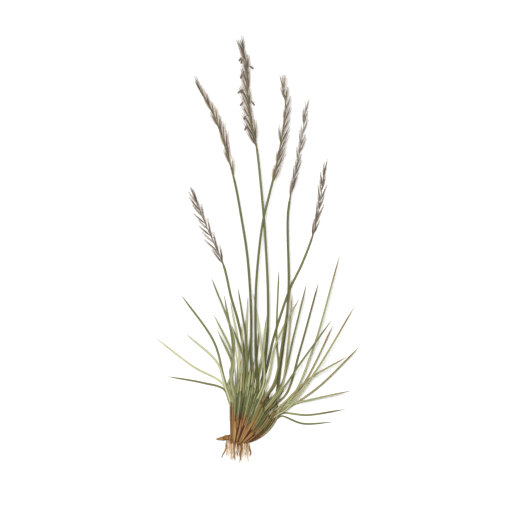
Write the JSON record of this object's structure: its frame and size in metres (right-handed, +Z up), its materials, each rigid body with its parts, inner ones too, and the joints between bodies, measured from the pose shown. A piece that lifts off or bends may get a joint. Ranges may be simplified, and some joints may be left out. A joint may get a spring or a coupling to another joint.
{
  "type": "bare-root mat-grass tuft",
  "caption": "Small wiry grass tuft laid flat: creeping rootstock with bare roots, ribbed straw sheaths, fanned bristle leaves and tall thin culms ending in comb-like flower spikes.",
  "frame": {"origin": "middle of the underside of the tuft's box, on the surface that it lies on", "axes": "+Y from the roots to the flower spikes, +X across the tuft to the right seen from above, +Z up from the surface"},
  "size_m": [0.1428, 0.2934, 0.0385],
  "materials": {
    "rootstock": "dry, scaly, tan-brown rootstock with brown roots and pale cream rootlets",
    "sheath": "dead straw sheaths, ribbed lengthwise, orange tan with dark brown grooves, greening to the mouth",
    "leaf": "thin bristle leaves, grey olive green with a pale keel, some drying to brown at the tip",
    "culm": "smooth wiry stalks, satin olive green",
    "spike": "dry grey-mauve spikelets with straw edges on an olive rachis"
  },
  "bodies": {
    "root": {"rootstock": "rootstock", "bunch_1_sheaths": "sheath", "bunch_1_leaves": "leaf", "bunch_2_left_sheaths": "sheath", "bunch_2_left_leaves": "leaf", "bunch_2_right_sheaths": "sheath", "bunch_2_right_leaves": "leaf", "bunch_3_left_sheaths": "sheath", "bunch_3_left_leaves": "leaf", "bunch_3_right_sheaths": "sheath", "bunch_3_right_leaves": "leaf", "bunch_4_left_sheaths": "sheath", "bunch_4_left_leaves": "leaf", "bunch_4_right_sheaths": "sheath", "bunch_4_right_leaves": "leaf", "bunch_5_left_sheaths": "sheath", "bunch_5_left_leaves": "leaf", "bunch_5_right_sheaths": "sheath", "bunch_5_right_leaves": "leaf", "culm_1": "culm", "spike_1": "spike", "culm_2": "culm", "spike_2": "spike", "culm_3": "culm", "spike_3": "spike", "culm_4": "culm", "spike_4": "spike", "culm_5": "culm", "spike_5": "spike", "culm_6": "culm", "spike_6": "spike"}
  },
  "joints": []
}
